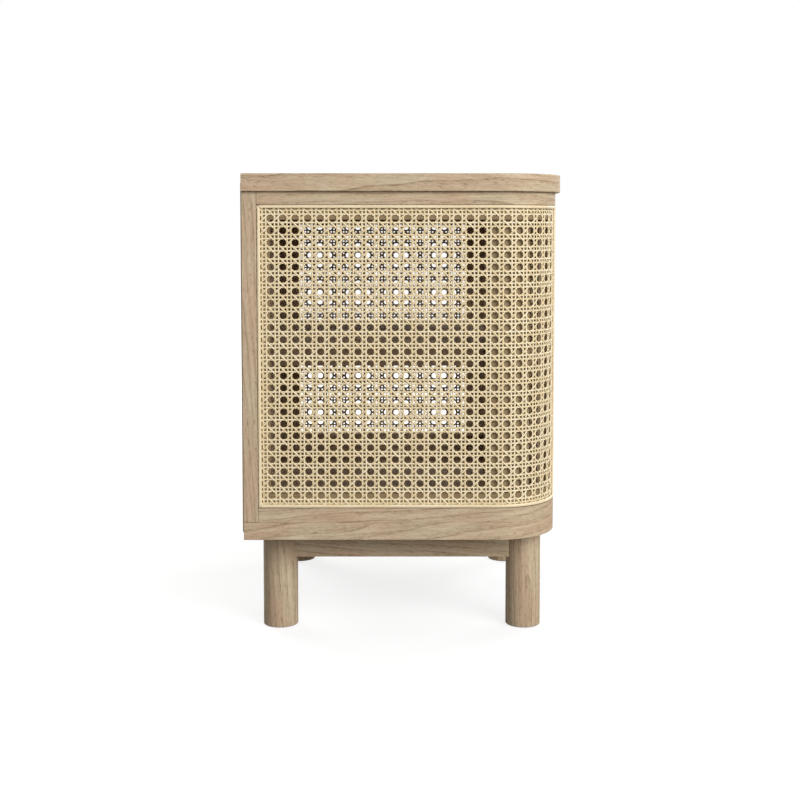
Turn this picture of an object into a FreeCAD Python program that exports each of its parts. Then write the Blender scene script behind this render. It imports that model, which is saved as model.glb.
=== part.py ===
"""Storage side table: a cabinet whose cane sides turn round its front corners, with an inset cane
door on butt hinges, one shelf, and a base of four round legs joined by aprons.

The part stands on its foot glides at z = 0, with the door facing -Y and the back board at +Y.
Every piece is built from the sizes in the sheet, in millimetres.
"""

import FreeCAD
import Part

import math
import os
import re

import Sketcher

# Driving dimensions
SIZES = {
    # Top and bottom panels
    "top_width": 500,
    "top_depth": 400,
    "top_thick": 22,
    "top_overhang": 6,
    "top_edge_round": 1.5,
    "bottom_thick": 22,
    "bottom_edge_round": 0.8,
    # Side frames: each member shows its lip, and carries the cane on its ledge
    "frame_height": 411,
    "frame_thick": 22,
    "corner_radius": 80,
    "stile_lip": 18,
    "stile_ledge": 16,
    "top_rail_lip": 16,
    "top_rail_ledge": 18.5,
    "bottom_rail_lip": 18,
    "bottom_rail_ledge": 18,
    "front_stile_lip": 20,
    "front_stile_tongue": 12,
    "tongue_gap": 0.1,
    # Shaped posts behind the cane at the front corners, measured back from the front face
    "post_front": 37,
    "post_back": 93,
    "post_depth": 45,
    "post_gap": 4,
    # Cane sheets, drawn as nets of eight-sided eyes, and the reed beads that hold their edges
    "cane_thick": 1.6,
    "cane_sink": 2,
    "eye_pitch": 24,
    "eye_size": 15,
    "bead_width": 5,
    "bead_thick": 2.6,
    # Shelf and its pins
    "shelf_thick": 27,
    "shelf_rise": 194,
    "shelf_front_gap": 6,
    "shelf_side_gap": 1,
    "shelf_back_gap": 0.5,
    "pin_diameter": 5,
    "pin_depth": 10,
    "pin_reach": 9,
    "pin_drop": 0.05,
    # Back board
    "back_thick": 3,
    "back_side_inset": 15,
    "back_top_lap": 11,
    "back_bottom_lap": 15,
    "back_screw_edge": 19,
    # Legs and aprons
    "leg_height": 130,
    "leg_diameter": 45,
    "leg_side_inset": 78,
    "leg_end_inset": 38.5,
    "leg_foot_round": 1.5,
    "apron_height": 38,
    "apron_thick": 24,
    "apron_seat": 15,
    "glide_thick": 1,
    "glide_diameter": 36,
    "bolt_diameter": 8,
    "bolt_in_leg": 30,
    "bolt_in_panel": 14,
    # Dowels between the stiles and the panels
    "dowel_diameter": 8,
    "dowel_depth": 12,
    # Door frame
    "door_gap": 2,
    "door_lip": 34,
    "door_ledge": 12,
    # Turned knob and its screw
    "knob_reach": 24,
    "knob_diameter": 24,
    "knob_round": 5,
    "knob_neck_diameter": 13,
    "knob_neck_length": 9,
    "knob_edge_inset": 17,
    "knob_screw_diameter": 4,
    "knob_screw_depth": 13,
    "knob_screw_head": 8,
    "knob_screw_head_height": 2.2,
    # Slim butt hinges, with their barrels let into the gap beside the door
    "hinge_height": 50,
    "hinge_width": 18,
    "hinge_leaf": 1.2,
    "hinge_mortise": 0.7,
    "hinge_barrel": 3.6,
    "hinge_set_back": 0.3,
    "hinge_end_inset": 45,
    "hinge_knuckle": 16,
    "hinge_play": 0.3,
    "hinge_pin": 1.8,
    "hinge_pin_tip": 3,
    "hinge_pin_tip_height": 1,
    "hinge_screw_inset": 10,
    "hinge_screw_spread": 15,
    # Magnet catch and its strike
    "catch_drop": 36,
    "catch_height": 40,
    "catch_depth": 14,
    "catch_flange": 4,
    "catch_flange_width": 17,
    "catch_gap": 0.4,
    "catch_lap": 2,
    "catch_screw_spread": 12,
    "strike_thick": 1.5,
    "strike_width": 11,
    "strike_height": 24,
    "strike_edge_inset": 1,
    # Countersunk wood screws
    "screw_diameter": 2.6,
    "screw_head": 5,
    "screw_head_height": 1.1,
    "screw_length": 14,
    # Running and driven clearances, on the radius
    "hinge_fit": 0.05,
    "driven_fit": 0.05,
}

# Places and sizes that follow from the driving dimensions
FORMULAS = {
    "half_width": "top_width / 2 - top_overhang",
    "body_width": "2 * half_width",
    "body_depth": "top_depth - top_overhang",
    "top_corner_radius": "corner_radius + top_overhang",
    "front_face": "(knob_reach - body_depth - back_thick) / 2",
    "back_face": "front_face + body_depth",
    "floor_level": "leg_height + bottom_thick",
    "roof_level": "floor_level + frame_height",
    "cane_seat": "cane_sink + cane_thick",
    "rail_run": "body_depth - stile_lip",
    "rail_inner_radius": "corner_radius - frame_thick",
    "ledge_radius": "corner_radius - cane_seat",
    "cane_radius": "corner_radius - cane_sink",
    "bead_radius": "cane_radius + bead_thick",
    "post_radius": "ledge_radius - post_gap",
    "top_rail_height": "top_rail_lip + top_rail_ledge",
    "bottom_rail_height": "bottom_rail_lip + bottom_rail_ledge",
    "lower_lip": "floor_level + bottom_rail_lip",
    "upper_lip": "roof_level - top_rail_lip",
    "lower_ledge": "floor_level + bottom_rail_height",
    "upper_ledge": "roof_level - top_rail_height",
    "cane_height": "upper_lip - lower_lip",
    "back_screw_far": "half_width - back_side_inset - back_screw_edge",
    "back_screw_near": "back_screw_far / 3",
    "tongue_face": "front_face + corner_radius - sqrt(ledge_radius^2 - front_stile_tongue^2) + tongue_gap",
    "shelf_under": "floor_level + shelf_rise",
    "shelf_half": "half_width - frame_thick - shelf_side_gap",
    "shelf_width": "2 * shelf_half",
    "shelf_notch": "post_depth - frame_thick",
    "shelf_front": "front_face + frame_thick + shelf_front_gap",
    "shelf_run": "back_face - shelf_back_gap - shelf_front",
    "shelf_notch_run": "front_face + post_back + shelf_side_gap - shelf_front",
    "pin_level": "shelf_under - pin_drop - pin_diameter / 2",
    "pin_length": "pin_depth + pin_reach",
    "leg_x": "half_width - leg_side_inset",
    "leg_front": "front_face + leg_end_inset",
    "leg_back": "back_face - leg_end_inset",
    "leg_radius": "leg_diameter / 2",
    "leg_length": "leg_height - glide_thick",
    "bolt_radius": "bolt_diameter / 2",
    "bolt_bore": "bolt_radius + driven_fit",
    "apron_level": "leg_height - apron_height",
    "opening_half": "half_width - corner_radius - front_stile_lip",
    "door_half": "opening_half - door_gap",
    "door_bottom": "lower_lip + door_gap",
    "door_top": "upper_lip - door_gap",
    "door_height": "door_top - door_bottom",
    "door_cane_half": "door_half - door_lip",
    "door_cane_bottom": "door_bottom + door_lip",
    "door_cane_height": "door_height - 2 * door_lip",
    "door_member": "door_lip + door_ledge",
    "knob_x": "door_half - knob_edge_inset",
    "knob_level": "(door_bottom + door_top) / 2",
    "knob_radius": "knob_diameter / 2",
    "knob_neck_radius": "knob_neck_diameter / 2",
    "hinge_x": "-(opening_half + door_half) / 2",
    "hinge_y": "front_face + hinge_set_back",
    "hinge_room": "hinge_barrel / 2 + hinge_play",
    "leaf_front": "hinge_y + hinge_room",
    "lower_hinge": "door_bottom + hinge_end_inset",
    "upper_hinge": "door_top - hinge_end_inset - hinge_height",
    "catch_level": "door_top - catch_drop",
    "strike_face": "front_face + frame_thick + strike_thick",
    "strike_x": "door_half - strike_edge_inset - strike_width",
}

doc = FreeCAD.newDocument("storage_side_table")
sheet = doc.addObject("Spreadsheet::Sheet", "dims")
for row, (alias, content) in enumerate([*SIZES.items(), *FORMULAS.items()], start=1):
    sheet.set(f"A{row}", alias)
    sheet.set(f"B{row}", str(content) if alias in SIZES else "=" + content)
    sheet.setAlias(f"B{row}", alias)
doc.recompute()

TURN_TO = {
    "+X": FreeCAD.Rotation(FreeCAD.Vector(0, 1, 0), 90),
    "-X": FreeCAD.Rotation(FreeCAD.Vector(0, 1, 0), -90),
    "-Y": FreeCAD.Rotation(FreeCAD.Vector(1, 0, 0), 90),
    "+Z": FreeCAD.Rotation(),
}
ALIASES = {*SIZES, *FORMULAS}
subparts = []


def size(alias):
    """A value read back from the sheet."""
    return float(sheet.get(alias))


def linked(formula):
    """The formula with each sheet alias written as a reference to the sheet."""
    return re.sub(r"[a-z_]+", lambda word: "dims." + word[0] if word[0] in ALIASES else word[0], formula)


def bind(thing, formulas):
    for path, formula in formulas.items():
        thing.setExpression(path, linked(formula))


def place(thing, corner, towards="+Z"):
    """Puts the object's own origin at the corner, with its Z axis turned towards a direction."""
    thing.Placement = FreeCAD.Placement(FreeCAD.Vector(), TURN_TO[towards])
    bind(thing, {f"Placement.Base.{axis}": formula for axis, formula in zip("xyz", corner)})


def keep(label, thing):
    """Names the finished sub-part and lists it for export."""
    thing.Label = label
    subparts.append(thing)
    return thing


# Primitives and booleans

def block(name, corner, extents):
    thing = doc.addObject("Part::Box", name)
    bind(thing, dict(zip(("Length", "Width", "Height"), extents)))
    place(thing, corner)
    return thing


def rod(name, centre, radius, length, towards="+Z"):
    thing = doc.addObject("Part::Cylinder", name)
    bind(thing, {"Radius": radius, "Height": length})
    place(thing, centre, towards)
    return thing


def taper(name, centre, start_radius, end_radius, length, towards):
    thing = doc.addObject("Part::Cone", name)
    bind(thing, {"Radius1": start_radius, "Radius2": end_radius, "Height": length})
    place(thing, centre, towards)
    return thing


def joined(name, pieces):
    thing = doc.addObject("Part::MultiFuse", name)
    thing.Shapes = pieces
    thing.Refine = True
    return thing


def group(name, pieces):
    thing = doc.addObject("Part::Compound", name)
    thing.Links = pieces
    return thing


def cut(name, base, tools):
    thing = doc.addObject("Part::Cut", name)
    thing.Base = base
    thing.Tool = tools[0] if len(tools) == 1 else group(name + "_tools", tools)
    return thing


def mirrored(name, source, normal=(1, 0, 0), middle="0"):
    """The source's mirror image across a plane at the given y, or across the middle of the width."""
    thing = doc.addObject("Part::Mirroring", name)
    thing.Source = source
    thing.Normal = FreeCAD.Vector(*normal)
    bind(thing, {"Base.y": middle})
    return thing


# Bodies and sketches

def new_body(name, corner, towards="+Z"):
    body = doc.addObject("PartDesign::Body", name)
    place(body, corner, towards)
    return body


def new_sketch(body, name, lift="0", role="XY_Plane"):
    sketch = body.newObject("Sketcher::SketchObject", name)
    plane = next(feature for feature in body.Origin.OriginFeatures if feature.Role == role)
    sketch.AttachmentSupport = [(plane, "")]
    sketch.MapMode = "FlatFace"
    bind(sketch, {"AttachmentOffset.Base.z": lift})
    return sketch


def dimension(sketch, kind, *references, alias):
    """A driving constraint of the sketch, bound to one cell of the sheet."""
    index = sketch.addConstraint(Sketcher.Constraint(kind, *references, size(alias)))
    sketch.setExpression(f"Constraints[{index}]", "dims." + alias)


def chain(sketch, ends):
    """Joins the named end of one edge to the named end of the next, all the way round."""
    for first, second in ends:
        sketch.addConstraint(Sketcher.Constraint("Coincident", *first, *second))


def line(sketch, start, end):
    sketch.addGeometry(Part.LineSegment(FreeCAD.Vector(*start), FreeCAD.Vector(*end)))


def arc(sketch, centre, radius, start_degrees, end_degrees):
    circle = Part.Circle(FreeCAD.Vector(*centre), FreeCAD.Vector(0, 0, 1), radius)
    sketch.addGeometry(Part.ArcOfCircle(circle, math.radians(start_degrees), math.radians(end_degrees)))


START, END, CENTRE = 1, 2, 3
ORIGIN = (-1, 1)


def extruded(body, kind, sketch, length):
    feature = body.newObject("PartDesign::" + kind, sketch.Name + "_" + kind.lower())
    feature.Profile = sketch
    bind(feature, {"Length": length})
    return feature


def circle_outline(sketch, radius):
    circle = Part.Circle(FreeCAD.Vector(), FreeCAD.Vector(0, 0, 1), size(radius))
    sketch.addGeometry(circle)
    sketch.addConstraint(Sketcher.Constraint("Coincident", 0, CENTRE, *ORIGIN))
    dimension(sketch, "Radius", 0, alias=radius)


def panel_outline(sketch, width, depth, radius):
    """A rectangle from the origin with its two front corners rounded."""
    w, d, r = size(width), size(depth), size(radius)
    line(sketch, (0, d), (0, r))
    arc(sketch, (r, r), r, 180, 270)
    line(sketch, (r, 0), (w - r, 0))
    arc(sketch, (w - r, r), r, 270, 360)
    line(sketch, (w, r), (w, d))
    line(sketch, (w, d), (0, d))
    chain(sketch, [((edge, END), ((edge + 1) % 6, START)) for edge in range(6)])
    for upright in (0, 4):
        sketch.addConstraint(Sketcher.Constraint("Vertical", upright))
    for level in (2, 5):
        sketch.addConstraint(Sketcher.Constraint("Horizontal", level))
    sketch.addConstraint(Sketcher.Constraint("Horizontal", 1, START, 1, CENTRE))
    sketch.addConstraint(Sketcher.Constraint("Vertical", 1, END, 1, CENTRE))
    sketch.addConstraint(Sketcher.Constraint("Vertical", 3, START, 3, CENTRE))
    sketch.addConstraint(Sketcher.Constraint("Horizontal", 3, END, 3, CENTRE))
    sketch.addConstraint(Sketcher.Constraint("Equal", 1, 3))
    dimension(sketch, "Radius", 1, alias=radius)
    dimension(sketch, "DistanceX", *ORIGIN, 1, CENTRE, alias=radius)
    dimension(sketch, "DistanceY", *ORIGIN, 1, CENTRE, alias=radius)
    dimension(sketch, "DistanceX", *ORIGIN, 4, START, alias=width)
    dimension(sketch, "DistanceY", *ORIGIN, 0, START, alias=depth)


def side_outline(sketch, outer_radius, inner_radius):
    """A strip along the left side, from the back stile to the front stile round the front corner."""
    middle, run = size("corner_radius"), size("rail_run")
    outer, inner = size(outer_radius), size(inner_radius)
    line(sketch, (middle - outer, run), (middle - outer, middle))
    arc(sketch, (middle, middle), outer, 180, 270)
    line(sketch, (middle, middle - outer), (middle, middle - inner))
    arc(sketch, (middle, middle), inner, 180, 270)
    line(sketch, (middle - inner, middle), (middle - inner, run))
    line(sketch, (middle - inner, run), (middle - outer, run))
    chain(sketch, [((0, END), (1, START)), ((1, END), (2, START)), ((2, END), (3, END)),
                   ((3, START), (4, START)), ((4, END), (5, START)), ((5, END), (0, START)),
                   ((1, CENTRE), (3, CENTRE))])
    for upright in (0, 2, 4):
        sketch.addConstraint(Sketcher.Constraint("Vertical", upright))
    sketch.addConstraint(Sketcher.Constraint("Horizontal", 5))
    sketch.addConstraint(Sketcher.Constraint("Horizontal", 1, START, 1, CENTRE))
    sketch.addConstraint(Sketcher.Constraint("Vertical", 1, END, 1, CENTRE))
    sketch.addConstraint(Sketcher.Constraint("Horizontal", 3, START, 3, CENTRE))
    dimension(sketch, "DistanceX", *ORIGIN, 1, CENTRE, alias="corner_radius")
    dimension(sketch, "DistanceY", *ORIGIN, 1, CENTRE, alias="corner_radius")
    dimension(sketch, "Radius", 1, alias=outer_radius)
    dimension(sketch, "Radius", 3, alias=inner_radius)
    dimension(sketch, "DistanceY", *ORIGIN, 0, START, alias="rail_run")


def post_outline(sketch):
    """The corner post's section: its outer face follows the cane round the corner."""
    middle, radius = size("corner_radius"), size("post_radius")
    front, back, depth = size("post_front"), size("post_back"), size("post_depth")
    end_angle = 180 + math.degrees(math.asin((middle - front) / radius))
    end_x = middle + radius * math.cos(math.radians(end_angle))
    line(sketch, (middle - radius, back), (middle - radius, middle))
    arc(sketch, (middle, middle), radius, 180, end_angle)
    line(sketch, (end_x, front), (depth, front))
    line(sketch, (depth, front), (depth, back))
    line(sketch, (depth, back), (middle - radius, back))
    chain(sketch, [((edge, END), ((edge + 1) % 5, START)) for edge in range(5)])
    for upright in (0, 3):
        sketch.addConstraint(Sketcher.Constraint("Vertical", upright))
    for level in (2, 4):
        sketch.addConstraint(Sketcher.Constraint("Horizontal", level))
    sketch.addConstraint(Sketcher.Constraint("Horizontal", 1, START, 1, CENTRE))
    dimension(sketch, "DistanceX", *ORIGIN, 1, CENTRE, alias="corner_radius")
    dimension(sketch, "DistanceY", *ORIGIN, 1, CENTRE, alias="corner_radius")
    dimension(sketch, "Radius", 1, alias="post_radius")
    dimension(sketch, "DistanceY", *ORIGIN, 2, END, alias="post_front")
    dimension(sketch, "DistanceX", *ORIGIN, 2, END, alias="post_depth")
    dimension(sketch, "DistanceY", *ORIGIN, 0, START, alias="post_back")


def knob_outline(sketch):
    """Half of the knob's section: a neck on the door, then the wider head."""
    neck, head = size("knob_neck_radius"), size("knob_radius")
    step, reach = size("knob_neck_length"), size("knob_reach")
    corners = [(0, 0), (neck, 0), (neck, step), (head, step), (head, reach), (0, reach)]
    for start, end in zip(corners, corners[1:] + corners[:1]):
        line(sketch, start, end)
    chain(sketch, [((edge, END), ((edge + 1) % 6, START)) for edge in range(6)])
    for level in (0, 2, 4):
        sketch.addConstraint(Sketcher.Constraint("Horizontal", level))
    for upright in (1, 3, 5):
        sketch.addConstraint(Sketcher.Constraint("Vertical", upright))
    sketch.addConstraint(Sketcher.Constraint("Coincident", 0, START, *ORIGIN))
    dimension(sketch, "DistanceX", *ORIGIN, 0, END, alias="knob_neck_radius")
    dimension(sketch, "DistanceX", *ORIGIN, 2, END, alias="knob_radius")
    dimension(sketch, "DistanceY", *ORIGIN, 1, END, alias="knob_neck_length")
    dimension(sketch, "DistanceY", *ORIGIN, 3, END, alias="knob_reach")


def edges_at(shape, test):
    """Names of the edges whose middle point passes the test."""
    names = []
    for number, edge in enumerate(shape.Edges, start=1):
        middle = edge.valueAt((edge.FirstParameter + edge.LastParameter) / 2)
        if test(middle):
            names.append(f"Edge{number}")
    return names


def rounded(body, base, test, radius):
    doc.recompute()
    fillet = body.newObject("PartDesign::Fillet", base.Name + "_round")
    fillet.Base = (base, edges_at(base.Shape, test))
    bind(fillet, {"Radius": radius})
    return fillet


def at_level(level):
    return lambda point: abs(point.z - level) < 1e-6


# Fasteners, each with the drill that makes room for it

def screw(name, point, towards):
    """A countersunk wood screw whose head lies flush at the point, and its drill."""
    head = taper(name + "_head", point, "screw_head / 2", "screw_diameter / 2", "screw_head_height", towards)
    shank = rod(name + "_shank", point, "screw_diameter / 2", "screw_length", towards)
    sink = taper(name + "_sink", point, "screw_head / 2 + driven_fit", "screw_diameter / 2 + driven_fit",
                 "screw_head_height", towards)
    pilot = rod(name + "_pilot", point, "screw_diameter / 2 + driven_fit", "screw_length + driven_fit",
                towards)
    return joined(name, [head, shank]), joined(name + "_drill", [sink, pilot])


def screws(label, points, towards):
    """A node of equal screws, and the drills for them in the same order."""
    pairs = [screw(f"{label}_{number}", point, towards) for number, point in enumerate(points, start=1)]
    keep(label, group(label, [solid for solid, drill in pairs]))
    return [drill for solid, drill in pairs]


def dowels(label, points):
    """A node of equal upright dowels centred on the points, and their drills."""
    solids = []
    drills = []
    for number, (x, y, z) in enumerate(points, start=1):
        solids.append(rod(f"{label}_{number}", (x, y, f"{z} - dowel_depth"), "dowel_diameter / 2",
                          "2 * dowel_depth"))
        drills.append(rod(f"{label}_{number}_drill", (x, y, f"{z} - dowel_depth - driven_fit"),
                          "dowel_diameter / 2 + driven_fit", "2 * (dowel_depth + driven_fit)"))
    keep(label, group(label, solids))
    return drills


SIDES = {"left": "-", "right": ""}

stile_middle = ("(half_width - frame_thick / 2)", "back_face - stile_lip / 2")
front_stile_middle = ("(opening_half + front_stile_lip / 2)", "front_face + frame_thick / 2")
dowel_places = {
    (side, end, level): (sign + place_xy[0], place_xy[1], level)
    for end, place_xy in (("back", stile_middle), ("front", front_stile_middle))
    for side, sign in SIDES.items()
    for level in ("floor_level", "roof_level")
}
dowel_drills = dict(zip(dowel_places, dowels("frame_dowels", dowel_places.values())))

back_screw_rows = ("roof_level + back_top_lap / 2", "floor_level - back_bottom_lap / 2")
back_screw_columns = ("-back_screw_far", "-back_screw_near", "back_screw_near", "back_screw_far")
back_drills = screws("back_screws", [(column, "back_face + back_thick", level)
                                     for level in back_screw_rows for column in back_screw_columns], "-Y")
upper_back_drills = back_drills[:len(back_screw_columns)]
lower_back_drills = back_drills[len(back_screw_columns):]

leg_places = [(sign + "leg_x", y) for sign in SIDES.values() for y in ("leg_front", "leg_back")]
bolt_foot = "leg_height - bolt_in_leg"
bolt_length = "bolt_in_leg + bolt_in_panel"
keep("leg_bolts", group("leg_bolts", [
    rod(f"leg_bolt_{number}", (x, y, bolt_foot), "bolt_radius", bolt_length)
    for number, (x, y) in enumerate(leg_places, start=1)]))
bolt_drills = [
    rod(f"leg_bolt_{number}_drill", (x, y, bolt_foot), "bolt_bore", bolt_length + " + driven_fit")
    for number, (x, y) in enumerate(leg_places, start=1)]

# Top and bottom panels, rounded at the front corners

def rounded_panel(name, corner, width, depth, radius, thick, edge_round):
    body = new_body(name, corner)
    outline = new_sketch(body, name + "_outline")
    panel_outline(outline, width, depth, radius)
    slab = extruded(body, "Pad", outline, thick)
    rim = (0, size(thick))
    rounded(body, slab, lambda point: any(abs(point.z - level) < 1e-6 for level in rim), edge_round)
    return body


top_slab = rounded_panel("top_slab", ("-top_width / 2", "front_face - top_overhang", "roof_level"),
                         "top_width", "top_depth", "top_corner_radius", "top_thick", "top_edge_round")
roof_dowels = [drill for (side, end, level), drill in dowel_drills.items() if level == "roof_level"]
keep("top_panel", cut("top_panel", top_slab, roof_dowels + upper_back_drills))

bottom_slab = rounded_panel("bottom_slab", ("-half_width", "front_face", "leg_height"),
                            "body_width", "body_depth", "corner_radius", "bottom_thick", "bottom_edge_round")
floor_dowels = [drill for (side, end, level), drill in dowel_drills.items() if level == "floor_level"]
keep("bottom_panel", cut("bottom_panel", bottom_slab, floor_dowels + lower_back_drills + bolt_drills))

# Back board, planted on the back of the cabinet
back_blank = block("back_blank",
                   ("-half_width + back_side_inset", "back_face", "floor_level - back_bottom_lap"),
                   ("body_width - 2 * back_side_inset", "back_thick",
                    "frame_height + back_bottom_lap + back_top_lap"))
keep("back_board", cut("back_board", back_blank, back_drills))

# Side rails, one piece each from the back stile to the front stile

def side_rail(name, level, lip_lift, lip_height, ledge_lift, ledge_height):
    body = new_body(name, ("-half_width", "front_face", level))
    lip = new_sketch(body, name + "_lip", lip_lift)
    side_outline(lip, "corner_radius", "rail_inner_radius")
    extruded(body, "Pad", lip, lip_height)
    ledge = new_sketch(body, name + "_ledge", ledge_lift)
    side_outline(ledge, "ledge_radius", "rail_inner_radius")
    extruded(body, "Pad", ledge, ledge_height)
    keep("left_" + name, body)
    keep("right_" + name, mirrored("right_" + name, body))


side_rail("top_rail", "upper_ledge", "top_rail_ledge", "top_rail_lip", "0", "top_rail_ledge")
side_rail("bottom_rail", "floor_level", "0", "bottom_rail_lip", "bottom_rail_lip", "bottom_rail_ledge")

# Shelf pins: the back pair in the back stiles, the front pair in the corner posts

pin_places = {
    "back": ("half_width - frame_thick", "back_face - stile_lip - stile_ledge / 2"),
    "front": ("half_width - post_depth", "front_face + (post_front + post_back) / 2"),
}
pin_drills = {}
pin_solids = []
for end, (face, y) in pin_places.items():
    pin_foot = (f"-({face} + pin_depth)", y, "pin_level")
    left_pin = rod(f"left_{end}_pin", pin_foot, "pin_diameter / 2", "pin_length", "+X")
    pin_solids += [left_pin, mirrored(f"right_{end}_pin", left_pin)]
    pin_drills[end] = rod(f"{end}_pin_drill", (f"-({face} + pin_depth + driven_fit)", y, "pin_level"),
                          "pin_diameter / 2 + driven_fit", "pin_length", "+X")
keep("shelf_pins", group("shelf_pins", pin_solids))

# Back stiles, full height, with a ledge behind the cane between the rails
stile_lip = block("stile_lip", ("-half_width", "back_face - stile_lip", "floor_level"),
                  ("frame_thick", "stile_lip", "frame_height"))
stile_ledge = block("stile_ledge",
                    ("-half_width + cane_seat", "back_face - stile_lip - stile_ledge", "lower_ledge"),
                    ("frame_thick - cane_seat", "stile_ledge", "upper_ledge - lower_ledge"))
back_stile = cut("back_stile", joined("back_stile_blank", [stile_lip, stile_ledge]),
                 [pin_drills["back"], dowel_drills["left", "back", "floor_level"],
                  dowel_drills["left", "back", "roof_level"]])
keep("left_back_stile", back_stile)
keep("right_back_stile", mirrored("right_back_stile", back_stile))

# Corner posts, standing between the bottom and top rails
post = new_body("post", ("-half_width", "front_face", "lower_ledge"))
post_section = new_sketch(post, "post_section")
post_outline(post_section)
extruded(post, "Pad", post_section, "upper_ledge - lower_ledge")
corner_post = cut("corner_post", post, [pin_drills["front"]])
keep("left_corner_post", corner_post)
keep("right_corner_post", mirrored("right_corner_post", corner_post))

# Shelf, notched round the corner posts
shelf_board = block("shelf_board", ("-shelf_half", "shelf_front", "shelf_under"),
                    ("shelf_width", "shelf_run", "shelf_thick"))
left_notch = block("left_shelf_notch", ("-shelf_half", "shelf_front", "shelf_under"),
                   ("shelf_notch", "shelf_notch_run", "shelf_thick"))
keep("shelf", cut("shelf", shelf_board, [left_notch, mirrored("right_shelf_notch", left_notch)]))

# Hinge screws, in the frame and in the door

leaf_proud = "(hinge_leaf - hinge_mortise)"
hinge_levels = {"lower": "lower_hinge", "upper": "upper_hinge"}
hinge_screw_levels = [f"{level} + hinge_height / 2 {sign} hinge_screw_spread"
                      for level in hinge_levels.values() for sign in "-+"]
hinge_screw_y = "hinge_y + hinge_screw_inset"
frame_hinge_drills = screws("frame_hinge_screws", [(f"-opening_half + {leaf_proud}", hinge_screw_y, level)
                                                   for level in hinge_screw_levels], "-X")
door_hinge_drills = screws("door_hinge_screws", [(f"-door_half - {leaf_proud}", hinge_screw_y, level)
                                                 for level in hinge_screw_levels], "+X")


def mortise(name, face_x, level):
    """Room for a leaf, let into a face that looks along X at the given x."""
    return block(name, (face_x, "hinge_y", level), ("hinge_mortise", "hinge_width", "hinge_height"))


frame_mortises = [mortise(f"{end}_frame_mortise", "-opening_half - hinge_mortise", level)
                  for end, level in hinge_levels.items()]
door_mortises = [mortise(f"{end}_door_mortise", "-door_half", level) for end, level in hinge_levels.items()]
pin_end = "(hinge_pin_tip_height + hinge_play)"
barrel_grooves = [rod(f"{end}_barrel_groove", ("hinge_x", "hinge_y", f"{level} - {pin_end}"), "hinge_room",
                      f"hinge_height + 2 * {pin_end}")
                  for end, level in hinge_levels.items()]

# Catch and strike screws
catch_screw_y = "front_face + frame_thick + catch_flange"
catch_screw_x = "opening_half + catch_flange_width / 2"
catch_screw_levels = [f"catch_level {sign} catch_screw_spread" for sign in "-+"]
catch_drills = screws("catch_screws", [(catch_screw_x, catch_screw_y, level) for level in catch_screw_levels],
                      "-Y")
strike_drills = screws("strike_screw", [("strike_x + strike_width / 2", "strike_face", "catch_level")], "-Y")

# Front stiles, each with a tongue that backs the end of the cane
front_lip = block("front_lip", ("-opening_half - front_stile_lip", "front_face", "floor_level"),
                  ("front_stile_lip", "frame_thick", "frame_height"))
front_tongue = block("front_tongue",
                     ("-opening_half - front_stile_lip - front_stile_tongue", "tongue_face", "lower_ledge"),
                     ("front_stile_tongue", "front_face + frame_thick - tongue_face",
                      "upper_ledge - lower_ledge"))
front_stile = joined("front_stile", [front_lip, front_tongue])
keep("left_front_stile", cut("left_front_stile", front_stile,
                             frame_mortises + barrel_grooves + frame_hinge_drills
                             + [dowel_drills["left", "front", "floor_level"],
                                dowel_drills["left", "front", "roof_level"]]))
keep("right_front_stile", cut("right_front_stile", mirrored("right_front_blank", front_stile),
                              catch_drills + [dowel_drills["right", "front", "floor_level"],
                                              dowel_drills["right", "front", "roof_level"]]))

# Front rails above and below the door
for label, level, height in (("front_top_rail", "upper_lip", "top_rail_lip"),
                             ("front_bottom_rail", "floor_level", "bottom_rail_lip")):
    keep(label, block(label, ("-opening_half", "front_face", level),
                      ("2 * opening_half", "frame_thick", height)))

# Cane sheets: a flat net on each side, a bent one round each corner, and a flat one in the door

def eye_outline(centre, across, up):
    """An eight-sided eye with two edges level, as a closed wire."""
    radius = size("eye_size") / 2 / math.cos(math.pi / 8)
    corners = []
    for corner in range(9):
        angle = (corner + 0.5) * math.pi / 4
        corners.append(centre + across * (radius * math.cos(angle)) + up * (radius * math.sin(angle)))
    return Part.makePolygon(corners)


def eye_centres(length, border_start, border_end):
    """Evenly spaced places along a length, clear of the borders at its two ends."""
    clear = length - border_start - border_end
    count = max(1, math.floor(clear / size("eye_pitch")))
    return [border_start + clear * (number + 0.5) / count for number in range(count)]


def flat_net(corner, across, up, through, columns, rows, length, height):
    rim = [corner, corner + across * length, corner + across * length + up * height, corner + up * height]
    wires = [Part.makePolygon([*rim, corner])]
    wires += [eye_outline(corner + across * column + up * level, across, up)
              for column in columns for level in rows]
    return Part.makeFace(wires, "Part::FaceMakerBullseye").extrude(through * size("cane_thick"))


def sheet_part(name, shape):
    thing = doc.addObject("Part::Feature", name)
    thing.Shape = shape
    return thing


X, Y, Z = FreeCAD.Vector(1, 0, 0), FreeCAD.Vector(0, 1, 0), FreeCAD.Vector(0, 0, 1)
bead = size("bead_width")
cane_rows = eye_centres(size("cane_height"), bead, bead)
side_length = size("rail_run") - size("corner_radius")
side_net = flat_net(
    FreeCAD.Vector(-size("half_width") + size("cane_sink"), size("front_face") + size("corner_radius"),
                   size("lower_lip")),
    Y, Z, X, eye_centres(side_length, 0, bead), cane_rows, side_length, size("cane_height"))
left_cane_side = keep("left_cane_side", sheet_part("left_cane_side", side_net))
keep("right_cane_side", mirrored("right_cane_side", left_cane_side))


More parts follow.
